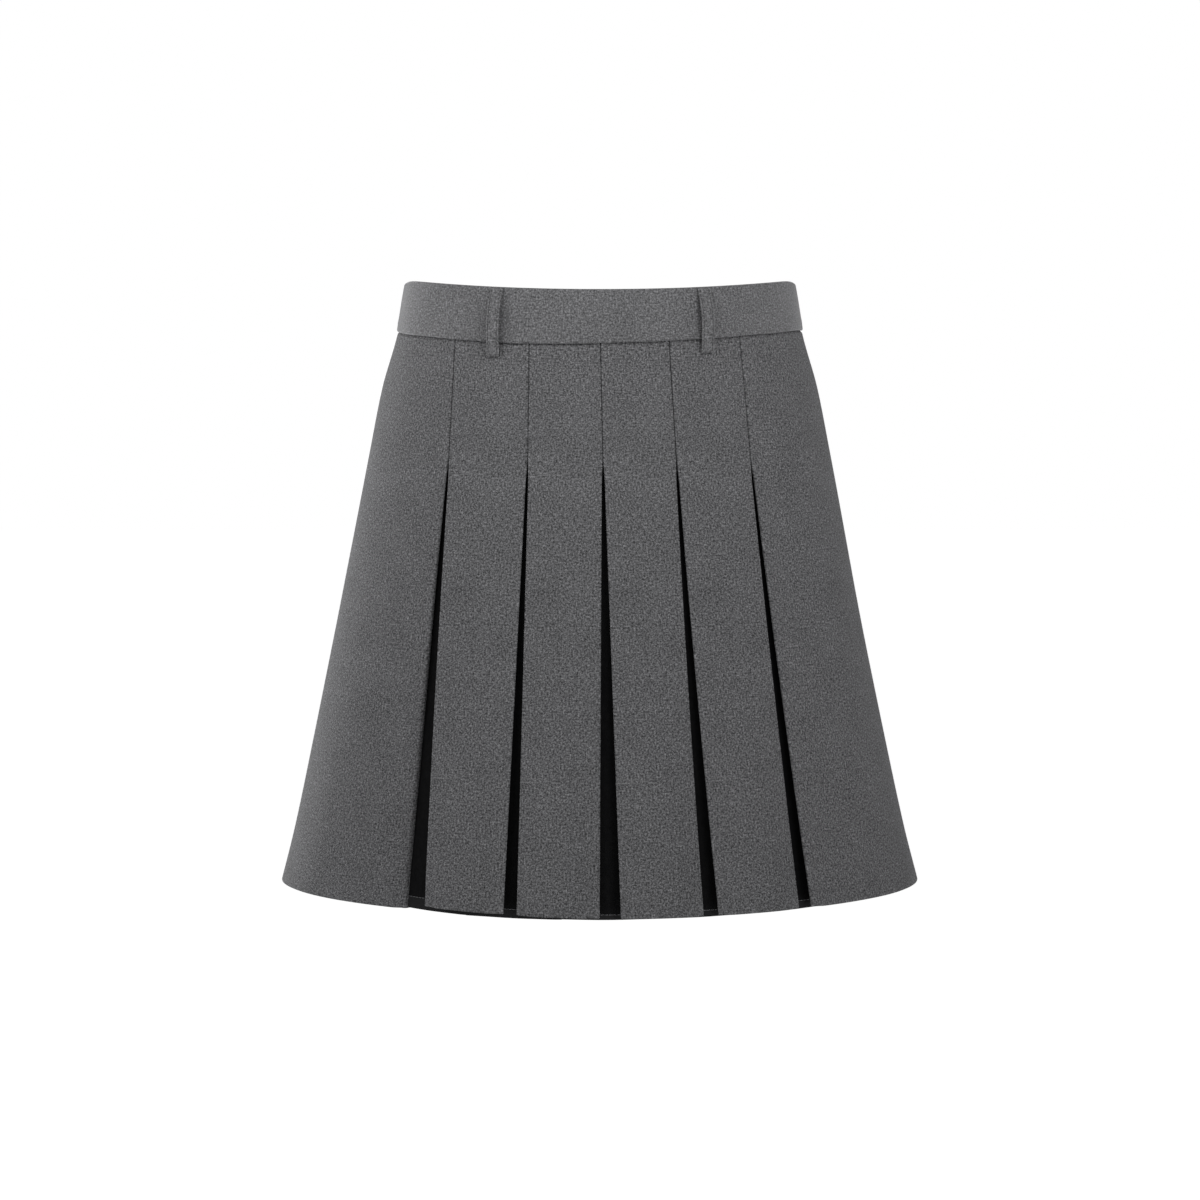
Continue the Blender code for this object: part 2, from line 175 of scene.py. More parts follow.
def sumOf(tree, *terms):
    # adds (socket - 0.5) * weight for each pair, to 0.5
    total = 0.5
    for socket, weight in terms:
        centred = addNode(tree, "ShaderNodeMath", {"operation": "SUBTRACT"}, {0: socket, 1: 0.5})
        part = addNode(tree, "ShaderNodeMath", {"operation": "MULTIPLY_ADD"}, {
            0: centred.outputs[0], 1: weight, 2: total})
        total = part.outputs[0]
    return total


twill = {  # wool twill of mixed dark and light fibres, woven 2/2, lightly milled and pressed
    "panelTones": ("#131314", "#c8c8cb"),
    "panelSheen": 0.2,
    "paintedLightBandTones": ("#303031", "#cacacd"),  # cut across, and painted lighter than the panels: painted light for the band's brighter look
    "bandSheen": 0.9,
    "ribSpacing": 1.1,   # about 0.6 in the real cloth, drawn coarser so that it shows close up
    "ribLean": 58.0,     # degrees from the weft
    "ribShade": 0.024,
    "yarnSpacing": 0.55,
    "fleck": (1.15, 0.76),      # size, weight in the colour
    "warpStreak": (0.7, 4.0, 0.32),
    "weftStreak": (3.5, 0.7, 0.22),
    "fibre": (0.4, 0.16),
    "cloud": (24.0, 0.09),
    "darkShare": 2.0,    # above 1 leaves light flecks on a dark ground
    "reliefDepth": 0.10,
}


def makeTwill(name, quarterTurn, sheenWeight, dark, light):
    # Wool twill: dull and soft, a fine diagonal rib, and a grain of mixed fibres. Its nap catches
    # light that grazes it.
    material, tree, shader = newMaterial(name)
    plane = clothPlane(tree, quarterTurn)

    def grain(sizeX, sizeY, detail=1.5, shift=0.0):
        scaled = addNode(tree, "ShaderNodeMapping", None, {
            "Vector": plane, "Scale": (1 / sizeX, 1 / sizeY, 1), "Location": (shift, 3 * shift, 0)})
        made = addNode(tree, "ShaderNodeTexNoise", {"noise_dimensions": "2D"}, {
            "Vector": scaled.outputs["Vector"], "Scale": 1.0, "Detail": detail, "Roughness": 0.55})
        return made.outputs[0]

    def bars(spacing, turned, distortion):
        scaled = addNode(tree, "ShaderNodeMapping", None, {
            "Vector": plane, "Rotation": (0, 0, math.radians(turned))})
        made = addNode(tree, "ShaderNodeTexWave", {"bands_direction": "X"}, {
            "Vector": scaled.outputs["Vector"], "Scale": math.pi / 10 / spacing,
            "Distortion": distortion, "Detail": 1.0, "Detail Scale": 1.2})
        return made.outputs["Fac"]

    fleckSize, fibreSize, cloudSize = (twill[part][0] for part in ("fleck", "fibre", "cloud"))
    fleck = grain(fleckSize, fleckSize)
    fibre = grain(fibreSize, fibreSize * 2, shift=4.0)
    ribs = bars(twill["ribSpacing"], twill["ribLean"], 0.6)
    yarns = bars(twill["yarnSpacing"], 0.0, 0.4)
    mix = sumOf(
        tree,
        (fleck, twill["fleck"][1]),
        (grain(*twill["warpStreak"][:2], shift=11.0), twill["warpStreak"][2]),
        (grain(*twill["weftStreak"][:2], shift=7.0), twill["weftStreak"][2]),
        (fibre, twill["fibre"][1]),
        (grain(cloudSize, cloudSize, 3.0, 2.0), twill["cloud"][1]),
        (ribs, twill["ribShade"]),
    )
    flecked = addNode(tree, "ShaderNodeMath", {"operation": "POWER"}, {0: mix, 1: twill["darkShare"]})
    colour = addNode(tree, "ShaderNodeMix", {"data_type": "RGBA", "clamp_factor": True}, {
        0: flecked.outputs[0], 6: toLinear(dark), 7: toLinear(light)})
    relief = sumOf(tree, (ribs, 0.8), (yarns, 0.35), (fibre, 0.5), (fleck, 0.5))
    bump = addNode(tree, "ShaderNodeBump", None, {
        "Height": relief, "Distance": twill["reliefDepth"] * mm, "Strength": 0.8})
    rough = addNode(tree, "ShaderNodeMapRange", None, {
        "Value": fibre, "From Min": 0.3, "From Max": 0.7, "To Min": 0.78, "To Max": 0.95})
    plug(tree, shader, {
        "Base Color": colour.outputs[2], "Roughness": rough.outputs["Result"], "Normal": bump.outputs["Normal"],
        "IOR": 1.45, "Specular IOR Level": 0.3,
        "Sheen Weight": sheenWeight, "Sheen Roughness": 0.45, "Sheen Tint": toLinear("#d8d8da")})
    return material


def makeLining(name, dark, light, roughness, paintedHemLight=None):
    # Viscose lining in a plain weave: smooth and near black, with a faint silky gloss. Its hem, below
    # zero on the cut, is doubled and painted a little lighter: a painted highlight for light reaching it from below.
    material, tree, shader = newMaterial(name)
    plane = clothPlane(tree)
    weave = addNode(tree, "ShaderNodeTexChecker", None, {  # threads 0.4 apart, 0.2 in real lining
        "Vector": plane, "Scale": 1 / 0.4, "Color1": (1, 1, 1, 1), "Color2": (0.4, 0.4, 0.4, 1)})
    slub = addNode(tree, "ShaderNodeTexNoise", {"noise_dimensions": "2D"}, {
        "Vector": plane, "Scale": 0.25, "Detail": 3.0})
    mix = sumOf(tree, (weave.outputs["Fac"], 0.3), (slub.outputs[0], 1.0))
    shown = addNode(tree, "ShaderNodeMix", {"data_type": "RGBA", "clamp_factor": True}, {
        0: mix, 6: toLinear(dark), 7: toLinear(light)}).outputs[2]
    if paintedHemLight:
        parts = addNode(tree, "ShaderNodeSeparateXYZ", None, {"Vector": plane})
        below = addNode(tree, "ShaderNodeMath", {"operation": "LESS_THAN"}, {0: parts.outputs["Y"], 1: 0.0})
        shown = addNode(tree, "ShaderNodeMix", {"data_type": "RGBA"}, {
            0: below.outputs[0], 6: shown, 7: toLinear(paintedHemLight)}).outputs[2]
    bump = addNode(tree, "ShaderNodeBump", None, {
        "Height": weave.outputs["Fac"], "Distance": 0.03 * mm, "Strength": 0.5})
    plug(tree, shader, {
        "Base Color": shown, "Roughness": roughness, "Normal": bump.outputs["Normal"],
        "IOR": 1.47, "Specular IOR Level": 0.08})
    return material


def makeThread(name, hexColour):
    # Spun polyester sewing thread: matt, with a fine twist.
    material, tree, shader = newMaterial(name)
    place = addNode(tree, "ShaderNodeTexCoord").outputs["Object"]
    twist = addNode(tree, "ShaderNodeTexNoise", None, {"Vector": place, "Scale": 2500.0, "Detail": 1.0})
    *base, alpha = toLinear(hexColour)
    colour = addNode(tree, "ShaderNodeMix", {"data_type": "RGBA"}, {
        0: twist.outputs[0], 6: (*(c * 0.7 for c in base), alpha), 7: (*(c * 1.3 for c in base), alpha)})
    bump = addNode(tree, "ShaderNodeBump", None, {"Height": twist.outputs[0], "Distance": 0.05 * mm})
    plug(tree, shader, {
        "Base Color": colour.outputs[2], "Roughness": 0.7, "Normal": bump.outputs["Normal"]})
    return material


def makeZincLacquer(name):
    # Die-cast zinc, tumbled and lacquered gunmetal: a soft metal gloss, faintly uneven, rubbed at
    # the high spots.
    material, tree, shader = newMaterial(name)
    place = addNode(tree, "ShaderNodeTexCoord").outputs["Object"]
    cast = addNode(tree, "ShaderNodeTexNoise", None, {"Vector": place, "Scale": 900.0, "Detail": 4.0})
    wear = addNode(tree, "ShaderNodeTexNoise", None, {"Vector": place, "Scale": 220.0, "Detail": 2.0})
    colour = addNode(tree, "ShaderNodeMix", {"data_type": "RGBA", "clamp_factor": True}, {
        0: wear.outputs[0], 6: toLinear("#48494c"), 7: toLinear("#7d7f83")})
    rough = addNode(tree, "ShaderNodeMapRange", None, {
        "Value": cast.outputs[0], "To Min": 0.22, "To Max": 0.45})
    bump = addNode(tree, "ShaderNodeBump", None, {
        "Height": cast.outputs[0], "Distance": 0.02 * mm, "Strength": 0.4})
    plug(tree, shader, {
        "Base Color": colour.outputs[2], "Roughness": rough.outputs["Result"], "Normal": bump.outputs["Normal"],
        "Metallic": 1.0})
    return material


greyTwill = makeTwill("greyWoolTwill", False, twill["panelSheen"], *twill["panelTones"])
# The waistband and belt loops share this copy of the twill, painted lighter than the panels: painted light.
paintedLightBandTwill = makeTwill("cutAcrossTwillPaintedLighter", True, twill["bandSheen"], *twill["paintedLightBandTones"])
# the last colour is a painted highlight on the inlays' hems
liningPaintedShadeAndHemLight = makeLining("blackLiningPaintedShadeAndHemLight", "#0c0c0d", "#1a1a1b", 0.7, "#2c2c2d")
tapeWeave = makeLining("blackZipTape", "#1a1a1b", "#2c2c2d", 0.85)
# Darker than the loops' cloth it sews: its dark grey paints the shade in the stitch holes.
darkThreadPaintedShade = makeThread("greyThreadWithPaintedShade", "#3f3f40")
# Pale grey although it sews the black inlays: it paints a highlight along their stitch lines. The zip coil shares it.
paleThreadPaintedHighlight = makeThread("paleThreadWithPaintedHighlight", "#7c7c7f")
zincLacquer = makeZincLacquer("gunmetalZinc")
print("materials made")


# Cloth pieces


def finishPiece(piece, body, nodes):
    bpy.context.scene.collection.objects.link(piece)
    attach(piece, body)
    if nodes:
        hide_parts(*nodes)
    return piece


def makeCloth(name, outer, inner, across, along, material, slot, nodes):
    # A closed sheet from rows of outer and inner points, lowest row first, with rounded edges at the
    # top and the bottom. across and along place each column and row on the flat cut, in metres.
    outer, inner = np.array(outer), np.array(inner)
    rows, columns = outer.shape[:2]

    def rim(first, second, beside):
        middle, half = (first + second) / 2, (first - second) / 2
        radius = np.linalg.norm(half, axis=1, keepdims=True)
        away = middle - beside
        away /= np.maximum(np.linalg.norm(away, axis=1, keepdims=True), 1e-12)
        return [middle + half * math.cos(a) + away * radius * math.sin(a) for a in np.radians([45, 90, 135])]

    def closed(grid):
        # the same round the sheet for a grid of values: up the outside, over three rows, down the inside
        grid = np.broadcast_to(grid, (rows, columns))
        return np.concatenate([grid, [grid[-1]] * 3, grid[::-1], [grid[0]] * 3]).ravel()

    top = rim(outer[-1], inner[-1], (outer[-2] + inner[-2]) / 2)
    bottom = rim(inner[0], outer[0], (outer[1] + inner[1]) / 2)
    points = np.concatenate([outer, top, inner[::-1], bottom])
    loop = len(points)
    index = np.arange(loop * columns).reshape(loop, columns)
    below, above = index, np.roll(index, -1, axis=0)
    faces = np.stack([below[:, :-1], below[:, 1:], above[:, 1:], above[:, :-1]], axis=-1)
    faces = faces.reshape(-1, 4).tolist()
    for column, flipped in ((0, False), (columns - 1, True)):
        for k in range(-2, rows + 1):
            corners = [k % loop, (k + 1) % loop, (2 * rows + 1 - k) % loop, (2 * rows + 2 - k) % loop]
            ring = list(dict.fromkeys(int(index[c, column]) for c in corners))
            faces.append(ring if flipped else ring[::-1])
    mesh = bpy.data.meshes.new(name)
    mesh.from_pydata(points.reshape(-1, 3).tolist(), [], faces)
    corner = np.empty(len(mesh.loops), np.int32)
    mesh.loops.foreach_get("vertex_index", corner)
    cut = np.stack([closed(across)[corner], closed(along)[corner]], axis=-1).astype(np.float32)
    mesh.uv_layers.new(name="cut").uv.foreach_set("vector", cut.ravel())
    mesh.shade_smooth()
    mesh.set_sharp_from_angle(angle=math.radians(60))
    mesh.materials.append(material)
    return finishPiece(bpy.data.objects.new(name, mesh), "skirt", nodes)


def offsetPair(first, second, before, behind):
    # the lines beside a middle line in a plane, before it on its left and behind it on its right
    alongFirst, alongSecond = np.gradient(first), np.gradient(second)
    size = np.hypot(alongFirst, alongSecond)
    outFirst, outSecond = alongSecond / size, -alongFirst / size
    return (
        (first + outFirst * before, second + outSecond * before),
        (first - outFirst * behind, second - outSecond * behind),
    )


def flatLength(first, second):
    return lengthAlong(np.stack([first, second], axis=-1))


seams = {
    "lineLeft": -1.3,   # the waist seam hangs a little lower on one side than on the other
    "lineReach": 50.0,
    "lineHalf": 131.0,
    "bandBottom": -13.3,
    "bandTop": 19.3,
    "clothTop": -14.6,
    "stitchesEnd": -91.0,
    "hem": -374.0,
    "liningHem": -375.8,
    "sewnGap": 0.12,    # from a folded edge to the seam between two pieces
    "sideGap": 0.01,    # the same at the side seams, shut so that no light shows between them
}


def seamTilt(turn):
    # how far the waist seam lies off its own height, in front only
    x, facing = seams["lineHalf"] * np.sin(turn), np.cos(turn)
    return -seams["lineLeft"] * np.tanh(x / seams["lineReach"]) * (facing > 0) * np.abs(facing) ** 0.3


def tiltBelow(height, turn):
    # the same tilt for the cloth below the seam, which loses it on the way down
    return seamTilt(turn) * smoothStep((height + 60) / 45)


def opened(height):
    return min(max((seams["stitchesEnd"] - height) / (seams["stitchesEnd"] - seams["hem"]), 0.0), 1.0)


gores = {
    "cloth": 0.95,
    "foldAcross": 0.42,
    "foldDeep": 0.6,
    "foldSteps": 9,
    "softFold": {"frontPanel1": (1.3, 2.2)},  # how much rounder its last fold is at the hem, across and deep
    "returnSteps": 9,
    "returnWidth": 26.0,
    "returnShort": 0.7,
    "returnOpens": 6.0,
    "returnBend": 1.3,
    "returnClear": 0.8,   # how far a return's edge stands off the face behind the stitches
    "faceStep": 2.6,
    "rowStep": 4.2,
    "turnUp": 35.0,
    "doubled": 1.9,       # cloth and turn-up together, between the folds
    "tuck": 5.0,          # seam allowance that goes up into the waistband
    "foldTop": 1.1,       # the folds end just under the waistband
    "tuckIn": 0.8,
    "tuckRadius": 1.2,
    "tuckThin": 0.17,     # the allowance is pressed thinner on each side
    "curl": 0.5,
    "curlDeep": 1.25,     # how far a side seam's edge turns in
    "sinkReach": 0.5,
    "sinkGrowth": 1.6,    # the edges sink faster towards the hem
    "sinkDrop": 0.19,     # and what sinks hangs this much lower
    # each pleat: at the waistband, where its stitching ends, its two folds at the hem and how far both
    # bow towards the right halfway down
    "frontPleats": (
        (-91.4, -95.4, -122.2, -111.0, -0.9),
        (-44.4, -45.2, -59.8, -52.6, 0.0),
        (0.3, 1.8, 0.4, 12.4, 0.0),
        (43.4, 47.7, 65.4, 73.6, -0.8),
        (88.5, 94.9, 126.4, 133.2, -0.7),
    ),
    "backPleats": (
        (90.0, 95.0, 126.0, 116.0, -0.6),
        (44.5, 46.5, 65.0, 56.0, 0.4),
        (0.0, 0.0, 5.5, -5.0, 0.0),
        (-44.0, -46.0, -57.0, -66.0, -0.5),
        (-90.5, -95.5, -117.0, -127.0, 0.8),
    ),
    "parting": 0.5,       # how far each fold springs back at once below the stitches
    # each gore at the hem: how far its first and last edges sink, and how high their corners lift
    "frontSets": (
        (0.0, 16.0, 0.0, 0.3),
        (1.5, 1.2, 3.2, 1.8),
        (1.0, 3.0, 1.5, 0.8),
        (0.8, 4.5, 0.4, 0.4),
        (0.8, 6.0, 0.4, 0.5),
        (1.0, 0.0, 0.5, 0.0),
    ),
    "backSets": (
        (0.0, 3.0, 0.0, 0.3),
        (1.5, 1.2, 1.2, 0.6),
        (1.0, 1.4, 0.4, 0.8),
        (1.2, 1.0, 0.6, 0.2),
        (1.4, 1.6, 0.2, 0.4),
        (2.5, 0.0, 0.3, 0.0),
    ),
    # soft hollows and swells: share across, height, half width, half length, out, lean
    "frontCreases": (
        ((0.30, -250, 26, 120, 1.1, 0.10), (0.62, -120, 20, 60, -0.5, 0.0), (0.15, -60, 14, 35, 0.4, 0.0)),
        ((0.25, -180, 13, 70, 0.5, 0.02), (0.60, -230, 12, 45, -0.6, 0.05), (0.45, -320, 16, 60, 0.4, 0.0)),
        ((0.22, -260, 14, 90, 0.7, 0.0), (0.70, -150, 14, 55, -0.4, 0.03), (0.55, -340, 12, 40, -0.4, 0.0)),
        ((0.30, -220, 16, 80, 0.6, 0.0), (0.72, -330, 11, 45, 0.6, 0.0), (0.50, -60, 14, 30, -0.4, 0.0)),
        ((0.35, -170, 15, 60, 0.5, 0.0), (0.66, -310, 12, 60, 0.6, 0.02), (0.30, -55, 9, 26, -0.6, 0.0)),
        ((0.40, -260, 24, 120, 0.9, -0.06), (0.25, -100, 16, 45, -0.4, 0.0), (0.75, -190, 18, 60, -0.5, 0.0)),
    ),
    "backCreases": (
        ((0.55, -240, 26, 110, 0.9, 0.05), (0.25, -130, 18, 50, -0.5, 0.0)),
        ((0.30, -200, 14, 75, 0.5, 0.0), (0.65, -310, 13, 50, 0.5, 0.0)),
        ((0.60, -260, 15, 85, 0.7, 0.02), (0.30, -120, 12, 45, -0.4, 0.0)),
        ((0.35, -240, 15, 80, 0.6, 0.0), (0.70, -150, 12, 40, -0.4, 0.0)),
        ((0.65, -200, 14, 65, 0.5, 0.0), (0.30, -320, 13, 50, 0.5, 0.0)),
        ((0.40, -250, 26, 110, 1.0, -0.05), (0.70, -110, 18, 50, -0.5, 0.0)),
    ),
}


class Gore:
    def __init__(self, side, number):
        pleats, self.behind = gores[side + "Pleats"], side == "back"
        self.name = f"{side}Panel{number}"
        self.node = f"gore_{side}_{number}"
        self.first = pleats[number - 2] if number > 1 else None
        self.last = pleats[number - 1] if number < 6 else None
        self.sinkFirst, self.sinkLast, self.liftFirst, self.liftLast = gores[side + "Sets"][number - 1]
        self.creases = gores[side + "Creases"][number - 1]
        start, end = self.edges(seams["hem"])
        self.steps = round((end - start) / gores["faceStep"])

    def foldDistance(self, height, pleat, fold, sunk):
        # the fold is seen in its line from the front, also where it sinks
        atBand, atStitchesEnd, *atHem, bow = pleat
        share = opened(height)
        x = np.interp(height, (seams["hem"], seams["stitchesEnd"], seams["bandBottom"]),
                      (atHem[fold], atStitchesEnd, atBand))
        x += bow * 4 * share * (1 - share)
        x += gores["parting"] * float(smoothStep(share / 0.06)) * (1 if atHem[fold] > atHem[1 - fold] else -1)
        turn = turnOfX(height, x, self.behind)
        aside = (spot(height, turn, 0)[0] - spot(height, turn, 1)[0]) / mm
        x += aside * sunk * share ** gores["sinkGrowth"]
        return distanceAt(height, turnOfX(height, x, self.behind))

    @lru_cache(maxsize=None)
    def edges(self, height):
        seam = form["sideSeam"]
        ends = (seam, 2 * math.pi - seam) if self.behind else (-seam, seam)
        start, end = (float(distanceAt(height, turn)) for turn in ends)
        if self.first:
            start = self.foldDistance(height, self.first, 1, self.sinkFirst)
        if self.last:
            end = self.foldDistance(height, self.last, 0, self.sinkLast)
        return start, end

    def returnWidth(self, height):
        start, end = self.edges(height)
        return min((end - start) / 2 - gores["returnShort"], gores["returnWidth"])

    def sink(self, height, distance):
        start, end = self.edges(height)
        reach = gores["sinkReach"] * (end - start)
        first = np.maximum(1 - (distance - start) / reach, 0) ** 2 * self.sinkFirst
        last = np.maximum(1 - (end - distance) / reach, 0) ** 2 * self.sinkLast
        return opened(height) ** gores["sinkGrowth"] * (first + last)

    def relief(self, height, distance):
        start, end = self.edges(height)
        total = np.zeros_like(distance)
        for share, middle, wide, long, out, lean in self.creases:
            offset = distance - (start + share * (end - start)) - lean * (height - middle)
            total += out * np.exp(-(offset / wide) ** 2 - ((height - middle) / long) ** 2)
        edge = smoothStep(np.minimum(distance - start, end - distance) / 10)  # the pressed folds stay straight
        return total * edge * smoothStep((-15 - height) / 25)

    def softness(self, height, last):
        across, deep = gores["softFold"].get(self.name, (0.0, 0.0)) if last else (0.0, 0.0)
        return across * opened(height), deep * opened(height)

    def wing(self, height, pleated, last):
        # from the free edge to the face, as distance from the fold and inset
        half = gores["cloth"] / 2
        if not pleated:
            centre = seams["sideGap"] + half + gores["curl"]
            angles = np.radians([0, 22, 45, 68, 90])
            far = np.concatenate([[centre - gores["curl"]], centre - gores["curl"] * np.cos(angles)])
            inset = np.concatenate([[half + gores["curlDeep"]], half + gores["curl"] * (1 - np.sin(angles))])
            return far, inset
        softAcross, softDeep = self.softness(height, last)
        foldAcross, foldDeep = gores["foldAcross"] + softAcross, gores["foldDeep"] + softDeep
        centre = seams["sewnGap"] + half + foldAcross
        share = np.linspace(1, 0, gores["returnSteps"] + 1)[:-1]
        opens = gores["returnOpens"] * opened(height) * share ** gores["returnBend"] + gores["returnClear"] * share
        angles = np.linspace(0, math.pi, gores["foldSteps"] + 1)
        far = np.concatenate([
            centre + (self.returnWidth(height) - centre) * share, centre - foldAcross * np.sin(angles)])
        inset = np.concatenate([half + 2 * foldDeep + opens, half + foldDeep * (1 + np.cos(angles))])
        return far, inset

    def section(self, height):
        # one row of the middle of the cloth, and the columns where its face begins and ends
        start, end = self.edges(height)
        farFirst, insetFirst = self.wing(height, bool(self.first), False)
        farLast, insetLast = self.wing(height, bool(self.last), True)
        low, high = start + farFirst[-1], end - farLast[-1]
        face = np.linspace(low, high, self.steps + 1)[1:-1]
        distance = np.concatenate([start + farFirst, face, (end - farLast)[::-1]])
        inset = np.concatenate([insetFirst, np.full(len(face), gores["cloth"] / 2), insetLast[::-1]])
        inset = inset + self.sink(height, distance) - self.relief(height, distance)
        return distance, inset, len(farFirst) - 1, len(distance) - len(farLast)

    def rowHeights(self):
        hem, top = seams["hem"], seams["clothTop"]
        turnUp = hem + gores["turnUp"]
        curlFrom = top - gores["tuckRadius"]
        fine = [hem, hem + 0.8, hem + 2, turnUp - 0.8, turnUp, seams["stitchesEnd"], curlFrom - 1.5, curlFrom]
        even = np.arange(hem + 5, top - 4, gores["rowStep"])
        return sorted(fine + [h for h in even if min(abs(h - f) for f in fine) > 1.2])

    def make(self):
        half, top, radius = gores["cloth"] / 2, seams["clothTop"], gores["tuckRadius"]
        # each row's height, and its share of the tuck's rise and of its inset
        rows = [(height, 0.0, 0.0) for height in self.rowHeights()]
        rows += [(top - radius + radius * math.sin(a), 0.0, 1 - math.cos(a)) for a in np.radians([20, 40, 60, 80])]
        rows += [(top, 0.2, 1.0), (top, 1.0, 1.0)]
        outer, inner, across, along = [], [], [], []
        for height, up, tucked in rows:
            distance, inset, faceFirst, faceLast = self.section(height)
            start, end = self.edges(height)
            column = np.arange(len(distance))
            fromFold = np.where(
                (column >= faceFirst) & (column <= faceLast), np.minimum(distance - start, end - distance), 0.0)
            share = np.clip((distance - start) / (end - start), 0, 1)
            corners = smoothStep((seams["hem"] + 30 - height) / 30)
            lift = (self.liftFirst * (1 - share) + self.liftLast * share) * corners
            onFace = smoothStep((fromFold - 1.2) / 2.5)
            turned = smoothStep((seams["hem"] + gores["turnUp"] - height) / 0.8) * smoothStep((fromFold - 4) / 6)
            thinned = gores["tuckThin"] * min(up * 5, 1)
            (outerDistance, outerInset), (innerDistance, innerInset) = offsetPair(
                distance, inset + gores["tuckIn"] * tucked * onFace, half - thinned,
                half + (gores["doubled"] - gores["cloth"]) * turned - thinned)
            level = height + lift + tiltBelow(height, turnAt(height, distance))
            level = level - gores["sinkDrop"] * self.sink(height, distance)
            pleated = np.where(share < 0.5, bool(self.first), bool(self.last))
            edgeTop = np.where(pleated, gores["foldTop"], gores["tuck"])
            level = level + up * (gores["tuck"] * onFace + edgeTop * (1 - onFace))
            outer.append(spot(level, turnAt(height, outerDistance), outerInset))
            inner.append(spot(level, turnAt(height, innerDistance), innerInset))
            cut = flatLength(distance, inset)
            across.append((cut - np.interp(0.5, share, cut)) * mm)
            along.append(level * mm)
        piece = makeCloth(self.name, outer, inner, across, along, greyTwill, "wool_twill", [self.node])


panels = {side: [Gore(side, number) for number in range(1, 7)] for side in ("front", "back")}


waistband = {
    "cloth": 0.7,
    "proud": 1.0,
    "thick": 3.2,
    "notchHeight": 4.0,
    "notchHalfWidth": 2.0,
    "sewnGap": 0.1,
    "columnStep": 2.6,
    "ends": (0.0, 0.25, 0.6, 1.1, 1.8),  # the closer columns at each end
    "endReach": 1.2,        # where the ends are pinched together
    "endThin": 0.2,
    "sideDrop": 2.4,        # the top edge eases down at the sides
    "sideReach": math.radians(11),
    "ridge": 0.16,          # the seam allowance inside shows as a faint ridge above the seam
    "ridgeHeight": -7.5,
    "ridgeHalf": 1.8,
    "belly": 0.25,
    "tuckIn": 0.5,          # its lower edge rolls in to the seam
    "tuckHeight": 1.1,
    "ripples": ((0.12, 17.0, 1.3), (0.08, 7.1, 0.0)),  # of the seam: height, length, start
    "cutHeight": 3.0,       # the level where its length is measured
}


def bandPath():
    # the folded cloth from its outer lower edge, over the top and down inside, as height and inset
    half, outside = waistband["cloth"] / 2, -waistband["proud"]
    radius = (waistband["thick"] - waistband["cloth"]) / 2
    bottom, top = seams["bandBottom"] + half, seams["bandTop"] - half - radius
    up = np.concatenate([bottom + np.array([0, 0.25, 0.55, 0.9, 1.4, 2.3]), np.linspace(bottom + 3.5, top, 16)])
    ridge = waistband["ridge"] * np.exp(-((up - waistband["ridgeHeight"]) / waistband["ridgeHalf"]) ** 2)
    belly = waistband["belly"] * np.sin(np.pi * np.clip((up - bottom) / (top - bottom), 0, 1))
    tuckedIn = waistband["tuckIn"] * np.clip(1 - (up - bottom) / waistband["tuckHeight"], 0, 1) ** 2
    angles = np.radians(np.arange(15, 180, 15))
    down = np.linspace(top, bottom, 14)
    heights = np.concatenate([up, top + radius * np.sin(angles), down])
    insets = np.concatenate([
        outside + half - ridge - belly + tuckedIn,
        outside + half + radius * (1 - np.cos(angles)),
        np.full(len(down), outside + half + 2 * radius),
    ])
    return heights, insets


def makeBand(name, node, firstSeam, lastSeam, zipAtEnd):
    heights, insets = bandPath()
    half, ends = waistband["cloth"] / 2, np.array(waistband["ends"])
    middleInset = waistband["thick"] / 2 - waistband["proud"]
    bottom, top = seams["bandBottom"], seams["bandTop"]
    count = round(distanceAt(0.0, lastSeam - firstSeam) / waistband["columnStep"])
    shares, reach = np.linspace(0, 1, count + 1), waistband["columnStep"]
    grids = []
    for pathHeights, pathInsets in offsetPair(heights, insets, -half, -half):
        rows = []
        for height, inset in zip(pathHeights, pathInsets):
            level = float(np.clip(height, bottom, top))
            notchShare = max(level - waistband["notchHeight"], 0) / (top - waistband["notchHeight"])
            gaps = [waistband["sewnGap"], max(waistband["notchHalfWidth"] * notchShare, waistband["sewnGap"])]
            firstGap, lastGap = gaps if zipAtEnd else gaps[::-1]
            starts, stops = distanceAt(level, firstSeam) + firstGap, distanceAt(level, lastSeam) - lastGap
            distance = np.concatenate([
                starts + ends, starts + reach + (stops - starts - 2 * reach) * shares, stops - ends[::-1]])
            fromEnd = np.clip(np.minimum(distance - starts, stops - distance) / waistband["endReach"], 0, 1)
            swell = np.sqrt(np.clip(1 - (1 - fromEnd) ** 2, 0, 1)) * (1 - waistband["endThin"]) + waistband["endThin"]
            turn = turnAt(level, distance)
            share = np.clip((height - bottom) / (top - bottom), 0, 1.1)
            fromSide = np.minimum(np.abs(np.abs(turn) - np.pi / 2), np.abs(turn - 1.5 * np.pi))
            side = np.exp(-(fromSide / waistband["sideReach"]) ** 2)
            ripple = sum(size * np.sin(distance / long + begins) for size, long, begins in waistband["ripples"])
            z = height - waistband["sideDrop"] * side * share ** 3 + (seamTilt(turn) + ripple) * (1 - share) ** 2
            rows.append(spot(z, turn, middleInset + (inset - middleInset) * swell))
        grids.append(rows)
    first, last = (distanceAt(waistband["cutHeight"], seam) for seam in (firstSeam, lastSeam))
    across = np.concatenate([first + ends, np.linspace(first + reach, last - reach, count + 1), last - ends[::-1]])
    across = np.broadcast_to(across * mm, (len(heights), len(across)))
    along = np.broadcast_to((flatLength(heights, insets) * mm)[:, None], across.shape)
    piece = makeCloth(name, *grids, across, along, paintedLightBandTwill, "wool_twill", [node])


makeBand("frontWaistband", "waistband_front", -form["sideSeam"], form["sideSeam"], True)
makeBand("backWaistband", "waistband_back", form["sideSeam"], 2 * math.pi - form["sideSeam"], False)
print("waistband made")

